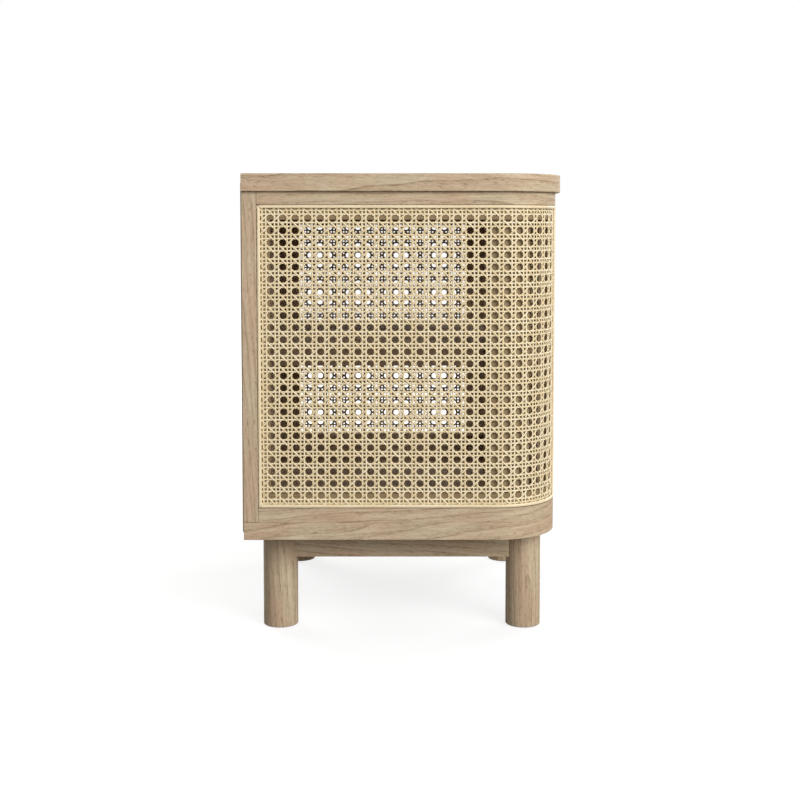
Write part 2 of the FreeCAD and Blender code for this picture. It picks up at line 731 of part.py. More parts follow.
def corner_net():
    """A quarter-round sheet with its eyes cut square to its curve."""
    axis_foot = FreeCAD.Vector(-size("half_width") + size("corner_radius"),
                               size("front_face") + size("corner_radius"), size("lower_lip"))
    outer, inner, thick = size("cane_radius"), size("ledge_radius"), size("cane_thick")
    rim = [axis_foot - X * outer, axis_foot - Y * outer, axis_foot - Y * inner, axis_foot - X * inner]
    halfway = -(X + Y).normalize()
    section = Part.Wire([
        Part.Arc(rim[0], axis_foot + halfway * outer, rim[1]).toShape(),
        Part.LineSegment(rim[1], rim[2]).toShape(),
        Part.Arc(rim[2], axis_foot + halfway * inner, rim[3]).toShape(),
        Part.LineSegment(rim[3], rim[0]).toShape()])
    quarter = Part.Face(section).extrude(Z * size("cane_height"))
    eyes = []
    for place_along in eye_centres(outer * math.pi / 2, 0, bead):
        angle = place_along / outer
        outward = -X * math.cos(angle) - Y * math.sin(angle)
        along = X * math.sin(angle) - Y * math.cos(angle)
        for level in cane_rows:
            outline = eye_outline(axis_foot + outward * (inner - thick) + Z * level, along, Z)
            eyes.append(Part.Face(outline).extrude(outward * (3 * thick)))
    return quarter.cut(Part.makeCompound(eyes))


left_cane_corner = keep("left_cane_corner", sheet_part("left_cane_corner", corner_net()))
keep("right_cane_corner", mirrored("right_cane_corner", left_cane_corner))

# Beads on the side cane: a strip round its whole edge
bead_sheet = new_body("bead_sheet", ("-half_width", "front_face", "lower_lip"))
bead_outline = new_sketch(bead_sheet, "bead_outline")
side_outline(bead_outline, "bead_radius", "cane_radius")
extruded(bead_sheet, "Pad", bead_outline, "cane_height")
bead_window = block("bead_window",
                    ("-half_width - bead_thick", "front_face - bead_thick", "lower_lip + bead_width"),
                    ("bead_thick + corner_radius - bead_width", "bead_thick + rail_run - bead_width",
                     "cane_height - 2 * bead_width"))
side_bead = cut("side_bead", bead_sheet, [bead_window])
keep("left_cane_bead", side_bead)
keep("right_cane_bead", mirrored("right_cane_bead", side_bead))

# Legs, turned, with flat seats cut for the two aprons that meet each one

leg = new_body("leg", ("-leg_x", "leg_front", "glide_thick"))
leg_outline = new_sketch(leg, "leg_outline")
circle_outline(leg_outline, "leg_radius")
leg_round = extruded(leg, "Pad", leg_outline, "leg_length")
rounded(leg, leg_round, at_level(0), "leg_foot_round")
bolt_hole = new_sketch(leg, "bolt_hole", "leg_length")
circle_outline(bolt_hole, "bolt_bore")
extruded(leg, "Pocket", bolt_hole, "bolt_in_leg")
side_seat = block("side_seat", ("-leg_x - apron_thick / 2", "leg_front + apron_seat", "apron_level"),
                  ("apron_thick", "leg_radius", "apron_height"))
cross_seat = block("cross_seat", ("-leg_x + apron_seat", "leg_front - apron_thick / 2", "apron_level"),
                   ("leg_radius", "apron_thick", "apron_height"))
front_leg = cut("front_leg", leg, [side_seat, cross_seat])
back_leg = mirrored("back_leg", front_leg, (0, 1, 0), "(front_face + back_face) / 2")
for end, source in (("front", front_leg), ("back", back_leg)):
    keep(f"left_{end}_leg", source)
    keep(f"right_{end}_leg", mirrored(f"right_{end}_leg", source))

# Aprons under the bottom panel
left_apron = keep("left_apron", block(
    "left_apron", ("-leg_x - apron_thick / 2", "leg_front + apron_seat", "apron_level"),
    ("apron_thick", "leg_back - leg_front - 2 * apron_seat", "apron_height")))
keep("right_apron", mirrored("right_apron", left_apron))
for label, y in (("front_apron", "leg_front"), ("back_apron", "leg_back")):
    keep(label, block(label, ("-leg_x + apron_seat", f"{y} - apron_thick / 2", "apron_level"),
                      ("2 * (leg_x - apron_seat)", "apron_thick", "apron_height")))

# Glides under the legs
keep("foot_glides", group("foot_glides", [
    rod(f"foot_glide_{number}", (x, y, "0"), "glide_diameter / 2", "glide_thick")
    for number, (x, y) in enumerate(leg_places, start=1)]))

# Hinges

def hinge(end, level):
    """One butt hinge: a leaf with two knuckles on the frame, a leaf with one on the door, and the pin."""
    knuckles = {
        "frame": [("0", "hinge_knuckle"), ("hinge_height - hinge_knuckle", "hinge_knuckle")],
        "door": [("hinge_knuckle + hinge_play", "hinge_height - 2 * (hinge_knuckle + hinge_play)")],
    }
    leaf_x = {"frame": "-opening_half - hinge_mortise", "door": f"-door_half - {leaf_proud}"}
    drills = {"frame": frame_hinge_drills, "door": door_hinge_drills}
    for owner in ("frame", "door"):
        name = f"{end}_hinge_{owner}_leaf"
        pieces = [block(name + "_plate", (leaf_x[owner], "leaf_front", level),
                        ("hinge_leaf", "hinge_width - hinge_room", "hinge_height"))]
        for number, (rise, length) in enumerate(knuckles[owner], start=1):
            foot = f"{level} + {rise}"
            pieces.append(rod(f"{name}_knuckle_{number}", ("hinge_x", "hinge_y", foot),
                              "hinge_barrel / 2", length))
            pieces.append(block(f"{name}_neck_{number}", (leaf_x[owner], "hinge_y", foot),
                                ("hinge_leaf", "hinge_room", length)))
        bore = rod(name + "_bore", ("hinge_x", "hinge_y", level), "hinge_pin / 2 + hinge_fit",
                   "hinge_height")
        first = 2 * list(hinge_levels).index(end)
        keep(name, cut(name, joined(name + "_blank", pieces), [bore] + drills[owner][first:first + 2]))
    name = f"{end}_hinge_pin"
    keep(name, joined(name, [
        rod(name + "_shaft", ("hinge_x", "hinge_y", level), "hinge_pin / 2", "hinge_height"),
        rod(name + "_foot", ("hinge_x", "hinge_y", f"{level} - hinge_pin_tip_height"),
            "hinge_pin_tip / 2", "hinge_pin_tip_height"),
        rod(name + "_head", ("hinge_x", "hinge_y", f"{level} + hinge_height"),
            "hinge_pin_tip / 2", "hinge_pin_tip_height")]))


for end, level in hinge_levels.items():
    hinge(end, level)

# Magnet catch on the right front stile
catch_block = block("catch_block",
                    ("strike_x", "strike_face + catch_gap", "catch_level - catch_height / 2"),
                    ("opening_half + catch_lap - strike_x", "catch_depth", "catch_height"))
catch_flange = block("catch_flange",
                     ("opening_half", "front_face + frame_thick", "catch_level - catch_height / 2"),
                     ("catch_flange_width", "catch_flange", "catch_height"))
keep("magnet_catch", cut("magnet_catch", joined("catch_body", [catch_block, catch_flange]), catch_drills))

# Strike plate on the inside of the door
strike_blank = block("strike_blank",
                     ("strike_x", "front_face + frame_thick", "catch_level - strike_height / 2"),
                     ("strike_width", "strike_thick", "strike_height"))
keep("strike_plate", cut("strike_plate", strike_blank, strike_drills))

# Knob and the screw that holds it from inside the door
knob = new_body("knob", ("knob_x", "front_face", "knob_level"), "-Y")
knob_section = new_sketch(knob, "knob_section", role="XZ_Plane")
knob_outline(knob_section)
turned = knob.newObject("PartDesign::Revolution", "turned_knob")
turned.Profile = knob_section
turned.ReferenceAxis = (knob_section, ["V_Axis"])
turned.Angle = 360
rounded(knob, turned, at_level(size("knob_reach")), "knob_round")
knob_screw_start = ("knob_x", "front_face + frame_thick", "knob_level")
knob_screw_shank = rod("knob_screw_shank", knob_screw_start, "knob_screw_diameter / 2",
                       "frame_thick + knob_screw_depth", "-Y")
knob_screw_cap = rod("knob_screw_cap",
                     ("knob_x", "front_face + frame_thick + knob_screw_head_height", "knob_level"),
                     "knob_screw_head / 2", "knob_screw_head_height", "-Y")
knob_drill = rod("knob_drill", knob_screw_start, "knob_screw_diameter / 2 + driven_fit",
                 "frame_thick + knob_screw_depth + driven_fit", "-Y")
keep("knob_screw", joined("knob_screw", [knob_screw_shank, knob_screw_cap]))
keep("door_knob", cut("door_knob", knob, [knob_drill]))

# Door frame: stiles of full height, with rails between their lips

door_stile_lip = block("door_stile_lip", ("-door_half", "front_face", "door_bottom"),
                       ("door_lip", "frame_thick", "door_height"))
door_stile_ledge = block("door_stile_ledge",
                         ("-door_cane_half", "front_face + cane_seat", "door_bottom + door_member"),
                         ("door_ledge", "frame_thick - cane_seat", "door_height - 2 * door_member"))
door_stile = joined("door_stile", [door_stile_lip, door_stile_ledge])
keep("door_left_stile", cut("door_left_stile", door_stile, door_mortises + barrel_grooves + door_hinge_drills))
keep("door_right_stile", cut("door_right_stile", mirrored("door_right_blank", door_stile),
                             strike_drills + [knob_drill]))

for label, lip_level, ledge_level in (
        ("door_top_rail", "door_top - door_lip", "door_top - door_member"),
        ("door_bottom_rail", "door_bottom", "door_bottom + door_lip")):
    rail_lip = block(label + "_lip", ("-door_cane_half", "front_face", lip_level),
                     ("2 * door_cane_half", "frame_thick", "door_lip"))
    rail_ledge = block(label + "_ledge", ("-door_cane_half", "front_face + cane_seat", ledge_level),
                       ("2 * door_cane_half", "frame_thick - cane_seat", "door_ledge"))
    keep(label, joined(label, [rail_lip, rail_ledge]))

# Door cane and its bead
door_cane_width = 2 * size("door_cane_half")
door_net = flat_net(
    FreeCAD.Vector(-size("door_cane_half"), size("front_face") + size("cane_sink"),
                   size("door_cane_bottom")),
    X, Z, Y, eye_centres(door_cane_width, bead, bead), eye_centres(size("door_cane_height"), bead, bead),
    door_cane_width, size("door_cane_height"))
keep("door_cane", sheet_part("door_cane", door_net))
door_bead_blank = block("door_bead_blank",
                        ("-door_cane_half", "front_face + cane_sink - bead_thick", "door_cane_bottom"),
                        ("2 * door_cane_half", "bead_thick", "door_cane_height"))
door_bead_window = block("door_bead_window",
                         ("-door_cane_half + bead_width", "front_face + cane_sink - bead_thick",
                          "door_cane_bottom + bead_width"),
                         ("2 * (door_cane_half - bead_width)", "bead_thick",
                          "door_cane_height - 2 * bead_width"))
keep("door_bead", cut("door_bead", door_bead_blank, [door_bead_window]))

# Every object must have computed, and every sub-part must be valid, before anything is written
doc.recompute()
failed = [thing.Label for thing in doc.Objects if {"Invalid", "Error"} & set(thing.State)]
failed += [thing.Label for thing in subparts if thing.Shape.isNull() or not thing.Shape.isValid()]
if failed:
    raise RuntimeError("these did not build: " + ", ".join(failed))

os.makedirs("parts", exist_ok=True)
for thing in subparts:
    thing.Shape.exportStep(os.path.join("parts", thing.Label + ".step"))
    print(thing.Label, len(thing.Shape.Solids), round(thing.Shape.Volume))
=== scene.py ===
"""Looks of the storage side table: washed wood, woven cane, reed beads and small brass and steel fittings."""

import math
import random

import bpy
import numpy as np
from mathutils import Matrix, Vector


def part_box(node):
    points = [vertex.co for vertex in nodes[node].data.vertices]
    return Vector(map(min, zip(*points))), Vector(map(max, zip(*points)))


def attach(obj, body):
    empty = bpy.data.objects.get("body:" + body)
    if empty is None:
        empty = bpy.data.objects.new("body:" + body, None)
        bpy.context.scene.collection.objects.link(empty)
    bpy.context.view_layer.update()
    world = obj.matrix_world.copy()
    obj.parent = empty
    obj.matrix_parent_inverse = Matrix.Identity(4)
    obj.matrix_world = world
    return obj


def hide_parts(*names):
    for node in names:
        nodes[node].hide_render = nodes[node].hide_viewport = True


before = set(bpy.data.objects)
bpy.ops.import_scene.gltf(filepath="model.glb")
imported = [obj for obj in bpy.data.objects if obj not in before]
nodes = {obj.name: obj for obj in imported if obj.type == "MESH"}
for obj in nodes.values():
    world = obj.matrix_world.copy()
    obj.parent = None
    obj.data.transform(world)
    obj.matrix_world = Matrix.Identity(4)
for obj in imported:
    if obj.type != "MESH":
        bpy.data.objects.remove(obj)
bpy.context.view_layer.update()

MM = 0.001

# Sizes read from the frame: the cane's openings, its bend round the corner and its thickness.
# The sheet is drawn out by a small share where it goes round the bend.

BEND_STRETCH = 1.03
side_low, side_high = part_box("left_cane_side")
corner_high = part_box("left_cane_corner")[1]
door_low, door_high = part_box("door_cane")
bead_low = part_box("left_cane_bead")[0]
cane_thick = side_high.x - side_low.x
bend_x = -corner_high.x
bend_y = corner_high.y
bend_radius = -(side_low.x + side_high.x) / 2 - bend_x
flat_run = side_high.y - bend_y
side_run = flat_run + bend_radius * math.pi / 2 / BEND_STRETCH
door_run = door_high.x - door_low.x
door_tall = door_high.z - door_low.z
bead_thick = side_low.x - bead_low.x
under_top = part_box("top_panel")[0].z
over_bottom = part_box("bottom_panel")[1].z
frame_outer = -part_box("left_back_stile")[0].x - bend_x
frame_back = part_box("left_back_stile")[1].y

# The six-way weave: eye spacing along and up, strand sizes, half a pair's spacing and where the first eye
# lies. Each side's sheet is cut from the roll by itself, so its first eye hangs at a height of its own.
# SLANT_HOLD, SHORTEST_SLANT and MARK_CLEAR are shares of an eye: how far a slanting strand stays level at a
# crossing, the least length that is woven, and how near to a strand's end a bend may come.

EYE_ALONG = 15.38 * MM
EYE_UP = 14.97 * MM
STRAND_WIDE = 2.3 * MM
SLANT_WIDE = 2.2 * MM
STRAND_THICK = 0.5 * MM
PAIR_HALF = 2.35 * MM
FIRST_EYE_IN = 16.8 * MM
FIRST_EYE_DOWN = {"left": 17.0 * MM, "right": 12.1 * MM}
CROWN_SHARE = 0.55
SLANT_HOLD = 0.19
SHORTEST_SLANT = 0.3
MARK_CLEAR = 0.05

# The reed bead round each cane opening. A ring of points just past each mitre keeps the shading even.

BEAD_WIDE = 4.2 * MM
BEAD_GAP = 0.5 * MM
BEAD_MITRE = BEAD_GAP + BEAD_WIDE + 1.0 * MM
BEAD_STRAIGHT = 1.2 * MM
BEAD_STEPS = 7
BEND_STEPS = 20

# Seeds for the tone of each strand

TONE_SEED = {"left_cane_weave": 10, "right_cane_weave": 12, "left_reed_bead": 20, "right_reed_bead": 22,
             "door_cane_weave": 31, "door_reed_bead": 41}

# Sockets of the Mix node: two colours and their mix, two vectors and their mix

COLOUR_A, COLOUR_B, COLOUR_MIX = 6, 7, 2
VECTOR_A, VECTOR_B, VECTOR_MIX = 4, 5, 1


def linear(colour):
    """An sRGB hex colour as linear red, green, blue and alpha."""
    parts = [int(colour[i:i + 2], 16) / 255 for i in (1, 3, 5)]
    return [c / 12.92 if c <= 0.04045 else ((c + 0.055) / 1.055) ** 2.4 for c in parts] + [1.0]


def add(tree, kind, inputs=None, out=0, **settings):
    """Adds a shader node with its settings and its inputs, each a value or another node's output."""
    made = tree.nodes.new("ShaderNode" + kind)
    for name, value in settings.items():
        setattr(made, name, value)
    for name, value in (inputs or {}).items():
        if isinstance(value, bpy.types.NodeSocket):
            tree.links.new(value, made.inputs[name])
        else:
            made.inputs[name].default_value = value
    return made.outputs[out] if made.outputs else None


def new_material(name):
    """An empty node material and its tree."""
    material = bpy.data.materials.new(name)
    material.use_nodes = True
    material.node_tree.nodes.clear()
    return material, material.node_tree


# Wood: the grain of each member runs along it, and its faces cut through the rings of a log


def straight_grain(tree, axis):
    """Place in a straight member as along, across and through."""
    turn = {"x": (0, 0, 0), "y": (0, 0, -math.pi / 2), "z": (0, math.pi / 2, 0)}[axis]
    place = add(tree, "TexCoord", out="Object")
    return add(tree, "Mapping", {"Vector": place, "Rotation": turn})


def bent_grain(tree):
    """Place in a member that follows the rounded corner: along the bend, up and outwards."""
    place = add(tree, "TexCoord", out="Object")
    split = add(tree, "SeparateXYZ", {0: place}).node.outputs
    width = add(tree, "Math", {0: split["X"]}, operation="ABSOLUTE")
    past_side = add(tree, "Math", {0: width, 1: bend_x}, operation="SUBTRACT")
    past_front = add(tree, "Math", {0: bend_y, 1: split["Y"]}, operation="SUBTRACT")
    outward = add(tree, "Math", {0: past_side, 1: 0.0}, operation="MAXIMUM")
    forward = add(tree, "Math", {0: past_front, 1: 0.0}, operation="MAXIMUM")
    turn = add(tree, "Math", {0: forward, 1: outward}, operation="ARCTAN2")
    before = add(tree, "Math", {0: past_front, 1: 0.0}, operation="MINIMUM")
    after = add(tree, "Math", {0: past_side, 1: 0.0}, operation="MINIMUM")
    straights = add(tree, "Math", {0: before, 1: after}, operation="SUBTRACT")
    along = add(tree, "Math", {0: turn, 1: bend_radius, 2: straights}, operation="MULTIPLY_ADD")
    corner = add(tree, "CombineXYZ", {"X": outward, "Y": forward})
    depth = add(tree, "VectorMath", {0: corner}, out="Value", operation="LENGTH")
    return add(tree, "CombineXYZ", {"X": along, "Y": split["Z"], "Z": depth})


# A board's faces point up or down by more than this, and its edge band does not

FACE_UPRIGHT = 0.75


def board_grain(tree):
    """Place in a veneered board: its faces run across the table and its edge band runs round the edge."""
    face = straight_grain(tree, "x")
    round_edge = add(tree, "SeparateXYZ", {0: bent_grain(tree)}).node.outputs
    edge = add(tree, "CombineXYZ", {"X": round_edge["X"], "Y": round_edge["Z"], "Z": round_edge["Y"]})
    normal = add(tree, "TexCoord", out="Normal")
    upright = add(tree, "SeparateXYZ", {0: normal}, out="Z")
    steep = add(tree, "Math", {0: upright}, operation="ABSOLUTE")
    is_face = add(tree, "Math", {0: steep, 1: FACE_UPRIGHT}, operation="GREATER_THAN")
    return add(tree, "Mix", {0: is_face, VECTOR_A: edge, VECTOR_B: face}, out=VECTOR_MIX, data_type="VECTOR")


def member_place(member, grain):
    """The middle of a member in the terms of its grain, and half its length."""
    low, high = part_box(member)
    middle, half = (low + high) / 2, (high - low) / 2
    if grain == "y":
        return (middle.y, -middle.x, middle.z), half.y
    if grain == "z":
        return (middle.z, middle.y, -middle.x), half.z
    if grain == "bent":
        start, end = bend_y - high.y, bend_radius * math.pi / 2
        return ((start + end) / 2, middle.z, frame_outer), (end - start) / 2
    return tuple(middle), half.x


# Woods: colours of the washed ground, of the figure and of the raw wood behind the cane, which is darkened
# as painted shade of the cane, then the spacing of the rings, how far off the pith lies and the lean of the
# log in degrees. Legs and posts have their own.

WASHED_ELM = {"pale": "#CEBFA2", "warm": "#C9AE92", "streak": "#A0876A", "line": "#775D43", "pore": "#6A523B",
              "raw_shade": "#7A6443", "ring": 9.0 * MM, "pith": 52.0 * MM, "lean": 3.5}
TURNED_ELM = WASHED_ELM | {"ring": 5.5 * MM, "pith": 16.0 * MM, "lean": 1.2}
# Posts take a lighter painted shade behind the cane than the rebates
PLANED_ELM = WASHED_ELM | {"raw_shade": "#8B7757"}
STOCK_OF = {"leg": TURNED_ELM, "post": PLANED_ELM}
BIRCH_PLY = {"pale": "#D2BE9E", "warm": "#C9B08E", "streak": "#B89C7A", "line": "#8F7353", "pore": "#85694C",
             "raw_shade": "#A08566", "ring": 14.0 * MM, "pith": 150.0 * MM, "lean": 1.0}
BEECH = {"pale": "#D2B48C", "warm": "#C9A57B", "streak": "#B98F66", "line": "#A87F58", "pore": "#96704D",
         "raw_shade": "#C9A57B", "ring": 3.0 * MM, "pith": 40.0 * MM, "lean": 1.0}

# Sizes of the figure, and the eased edges

FIBRE_WIDE = 2.8 * MM
FIBRE_LONG = 100.0 * MM
PORE_WIDE = 1.1 * MM
PORE_LONG = 9.0 * MM
SPECK = 1.5 * MM
WASH_WIDE = 22.0 * MM
WASH_LONG = 90.0 * MM
FADE_WIDE = WASH_WIDE / 3
FADE_LONG = WASH_LONG / 2
EDGE_EASE = 0.7 * MM

# How strongly each layer of the figure tints the ground

BAND_SHARE = 0.25
FIBRE_SHARE = 0.56
SPECK_SHARE = 0.35
LINE_SHARE = 0.54
PORE_SHARE = 0.5
# The next share is for the painted shade of the cane on the raw wood behind it
RAW_AND_SHADE_SHARE = 0.85
# The next share is for dark joint lines and the painted shadow under the top
JOINT_AND_SHADOW_SHARE = 0.75

# Where the dark line of a joint starts and is full at a member's end, and where the painted shadow under the
# top starts and is full

SEAM_START = 1.0 * MM
SEAM_FULL = 0.25 * MM
SHADE_START = 1.3 * MM
SHADE_FULL = 0.7 * MM

# Raw wood darkened as painted shade of the cane: how far in from the outer face it starts and ends,
# and how close it comes to the panels

INSIDE = 1.0 * MM
REBATE = 12.0 * MM
PANEL_CLEAR = 0.25 * MM

# Each member is cut from its own place: a turn round the log and a step along it, in metres.
# The wave texture's rings are WAVE_SPACING apart at a scale of 1, and wander slowly along the log.

GOLDEN_TURN = 2.4
NEXT_LOG = 0.61
WAVE_SPACING = math.pi / 10
RING_WANDER = 0.3


def painted_cane_shade(tree):
    """1 on the rebates and post faces close behind the cane, between bottom and top: painted shade on raw
    wood.
    """
    depth = add(tree, "SeparateXYZ", {0: bent_grain(tree)}, out="Z")
    split = add(tree, "SeparateXYZ", {0: add(tree, "TexCoord", out="Object")}).node.outputs
    behind = add(tree, "Math", {0: depth, 1: frame_outer - INSIDE}, operation="LESS_THAN")
    ahead = add(tree, "Math", {0: split["Y"], 1: frame_back - INSIDE}, operation="LESS_THAN")
    above = add(tree, "Math", {0: split["Z"], 1: over_bottom + PANEL_CLEAR}, operation="GREATER_THAN")
    below = add(tree, "Math", {0: split["Z"], 1: under_top - PANEL_CLEAR}, operation="LESS_THAN")
    between = add(tree, "Math", {0: above, 1: below}, operation="MULTIPLY")
    close = add(tree, "Math", {0: depth, 1: frame_outer - REBATE}, operation="GREATER_THAN")
    both = add(tree, "Math", {0: behind, 1: close}, operation="MULTIPLY")
    both = add(tree, "Math", {0: both, 1: ahead}, operation="MULTIPLY")
    return add(tree, "Math", {0: between, 1: both}, operation="MULTIPLY")


def joint_lines_and_top_shadow(tree, place, middle, half, member):
    """1 on a dark joint line at a member's ends, and on a painted shadow of the top's overhang close under
    it.
    """
    along = add(tree, "SeparateXYZ", {0: place}, out="X")
    from_middle = add(tree, "Math", {0: along, 1: middle}, operation="SUBTRACT")
    reach = add(tree, "Math", {0: from_middle}, operation="ABSOLUTE")
    at_end = add(tree, "MapRange", {"Value": reach, "From Min": half - SEAM_START,
                                    "From Max": half - SEAM_FULL})
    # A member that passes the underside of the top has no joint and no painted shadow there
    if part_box(member)[1].z > under_top + SEAM_START:
        return at_end
    # Painted shadow of the top's overhang on the members just under it
    height = add(tree, "SeparateXYZ", {0: add(tree, "TexCoord", out="Object")}, out="Z")
    shadow_under_top = add(tree, "MapRange", {"Value": height, "From Min": under_top - SHADE_START,
                                    "From Max": under_top - SHADE_FULL})
    return add(tree, "Math", {0: at_end, 1: shadow_under_top}, operation="MAXIMUM")


def sawn_wood(name, stock, grain, member, cut):
    """Sawn and sanded wood under a pale matt wash: growth rings, fine fibres, short open pores, eased edges.

    The pores and fibres of the real wood are finer than a pixel, so they are drawn about twice as wide."""
    material, tree = new_material(name)
    middle, half = member_place(member, grain)
    if grain == "bent":
        place = bent_grain(tree)
    elif grain == "board":
        place = board_grain(tree)
    else:
        place = straight_grain(tree, grain)
    lean = math.radians(stock["lean"]) * (1 if cut % 2 else -1)
    log = add(tree, "Mapping", {"Vector": place, "Location": middle, "Rotation": (0, lean, lean)},
              vector_type="TEXTURE")
    turn = GOLDEN_TURN * cut
    pith = (NEXT_LOG * cut, stock["pith"] * math.cos(turn), stock["pith"] * math.sin(turn))

    heart = add(tree, "Mapping", {"Vector": log, "Location": pith, "Scale": (RING_WANDER, 1, 1)})
    rings = add(tree, "TexWave", {"Vector": heart, "Scale": WAVE_SPACING / stock["ring"], "Distortion": 11.0,
                                  "Detail": 3.0, "Detail Scale": 0.25, "Detail Roughness": 0.55},
                out="Fac", wave_type="RINGS", rings_direction="X", wave_profile="SAW")
    bands = add(tree, "MapRange", {"Value": rings, "From Min": 0.15, "From Max": 1.0},
                interpolation_type="SMOOTHSTEP")
    late_wood = add(tree, "MapRange", {"Value": rings, "From Min": 0.82, "From Max": 0.99},
                    interpolation_type="SMOOTHSTEP")

    def noise(long, wide, detail, low, high):
        stretched = add(tree, "Mapping", {"Vector": log, "Location": (NEXT_LOG * cut / wide, cut, 0),
                                          "Scale": (1 / long, 1 / wide, 1 / wide)})
        cloud = add(tree, "TexNoise", {"Vector": stretched, "Scale": 1.0, "Detail": detail, "Roughness": 0.6})
        return add(tree, "MapRange", {"Value": cloud, "From Min": low, "From Max": high})

    wash = noise(WASH_LONG, WASH_WIDE, detail=2.0, low=0.35, high=0.65)
    fade = noise(FADE_LONG, FADE_WIDE, detail=2.0, low=0.3, high=0.62)
    fibres = noise(FIBRE_LONG, FIBRE_WIDE, detail=4.0, low=0.36, high=0.68)
    dashes = noise(PORE_LONG, PORE_WIDE, detail=1.0, low=0.54, high=0.68)
    specks = noise(SPECK, SPECK, detail=1.0, low=0.4, high=0.75)
    lines = add(tree, "Math", {0: late_wood, 1: fade}, operation="MULTIPLY")
    crowd = add(tree, "MapRange", {"Value": bands, "To Min": 0.45, "To Max": 1.0})
    pores = add(tree, "Math", {0: dashes, 1: crowd}, operation="MULTIPLY")

    layers = [(bands, BAND_SHARE, "streak"), (fibres, FIBRE_SHARE, "streak"), (specks, SPECK_SHARE, "streak"),
              (lines, LINE_SHARE, "line"), (pores, PORE_SHARE, "pore")]
    if grain != "board":
        # Dark joint lines at the ends, and a painted shadow under the top
        joints_and_shadow = joint_lines_and_top_shadow(tree, place, middle[0], half, member)
        # Painted shade of the cane on the raw wood behind it, then dark joints with the painted shadow under
        # the top
        layers += [(painted_cane_shade(tree), RAW_AND_SHADE_SHARE, "raw_shade"), (joints_and_shadow, JOINT_AND_SHADOW_SHARE, "pore")]
    colour = add(tree, "Mix", {0: wash, COLOUR_A: linear(stock["pale"]), COLOUR_B: linear(stock["warm"])},
                 out=COLOUR_MIX, data_type="RGBA")
    for layer, strength, tint in layers:
        share = add(tree, "Math", {0: layer, 1: strength}, operation="MULTIPLY")
        colour = add(tree, "Mix", {0: share, COLOUR_A: colour, COLOUR_B: linear(stock[tint])},
                     out=COLOUR_MIX, data_type="RGBA")

    rough = add(tree, "MapRange", {"Value": pores, "To Min": 0.66, "To Max": 0.85})
    eased = add(tree, "Bevel", {"Radius": EDGE_EASE}, samples=4)
    height = add(tree, "Math", {0: pores, 1: -1.0, 2: fibres}, operation="MULTIPLY_ADD")
    relief = add(tree, "Bump", {"Strength": 0.35, "Distance": 0.25 * MM, "Height": height, "Normal": eased})
    skin = add(tree, "BsdfPrincipled", {"Base Color": colour, "Roughness": rough, "IOR": 1.5,
                                        "Specular IOR Level": 0.25, "Normal": relief})
    add(tree, "OutputMaterial", {"Surface": skin})
    return material


# Streaks in cane and reed, scratches and patches on metal, grit of plastic, fibres of felt. TONE_STEP sets
# strands of different tone far apart in the noise.

CANE_STREAK_LONG = 25.0 * MM
CANE_STREAK_WIDE = 0.8 * MM
CANE_STREAK_SHARE = 0.9
TONE_STEP = 90.0
REED_STREAK_LONG = 40.0 * MM
REED_STREAK_WIDE = 0.9 * MM
SCRATCH_LONG = 12.0 * MM
SCRATCH_WIDE = 0.4 * MM
METAL_PATCH = 8.0 * MM
PLASTIC_GRIT = 0.6 * MM
FELT_FIBRE = 0.8 * MM


def peeled_cane():
    """Cane peeled to flat strands and woven: pale cream skin of low gloss, each strand with its own tone."""
    material, tree = new_material("peeled_cane_six_way_weave")
    place = add(tree, "Attribute", out="Vector", attribute_name="strand_place")
    tone = add(tree, "SeparateXYZ", {0: place}, out="Z")
    stretch = (1 / CANE_STREAK_LONG, 1 / CANE_STREAK_WIDE, TONE_STEP)
    lengthwise = add(tree, "Mapping", {"Vector": place, "Scale": stretch})
    streaks = add(tree, "TexNoise", {"Vector": lengthwise, "Scale": 1.0, "Detail": 4.0, "Roughness": 0.6})
    spread = add(tree, "Math", {0: streaks, 1: CANE_STREAK_SHARE, 2: tone}, operation="MULTIPLY_ADD")
    share = add(tree, "MapRange", {"Value": spread, "From Min": 0.2, "From Max": 1.25})
    colour = add(tree, "Mix", {0: share, COLOUR_A: linear("#F0E1C1"), COLOUR_B: linear("#DFCA9F")},
                 out=COLOUR_MIX, data_type="RGBA")
    rough = add(tree, "MapRange", {"Value": streaks, "From Min": 0.3, "From Max": 0.7,
                                   "To Min": 0.38, "To Max": 0.55})
    relief = add(tree, "Bump", {"Strength": 0.3, "Distance": 0.1 * MM, "Height": streaks})
    skin = add(tree, "BsdfPrincipled", {"Base Color": colour, "Roughness": rough, "IOR": 1.5,
                                        "Normal": relief})
    add(tree, "OutputMaterial", {"Surface": skin})
    return material


def split_reed():
    """Reed split and pressed into the groove: smooth rounded straw with fine lengthwise streaks."""
    material, tree = new_material("split_reed_pressed_spline")
    place = add(tree, "Attribute", out="Vector", attribute_name="strand_place")
    stretch = (1 / REED_STREAK_LONG, 1 / REED_STREAK_WIDE, 1)
    lengthwise = add(tree, "Mapping", {"Vector": place, "Scale": stretch})
    streaks = add(tree, "TexNoise", {"Vector": lengthwise, "Scale": 1.0, "Detail": 4.0, "Roughness": 0.6})
    share = add(tree, "MapRange", {"Value": streaks, "From Min": 0.3, "From Max": 0.7})
    colour = add(tree, "Mix", {0: share, COLOUR_A: linear("#EBDBBC"), COLOUR_B: linear("#D9C399")},
                 out=COLOUR_MIX, data_type="RGBA")
    rough = add(tree, "MapRange", {"Value": streaks, "To Min": 0.4, "To Max": 0.55})
    relief = add(tree, "Bump", {"Strength": 0.3, "Distance": 0.15 * MM, "Height": streaks})
    skin = add(tree, "BsdfPrincipled", {"Base Color": colour, "Roughness": rough, "IOR": 1.5,
                                        "Normal": relief})
    add(tree, "OutputMaterial", {"Surface": skin})
    return material


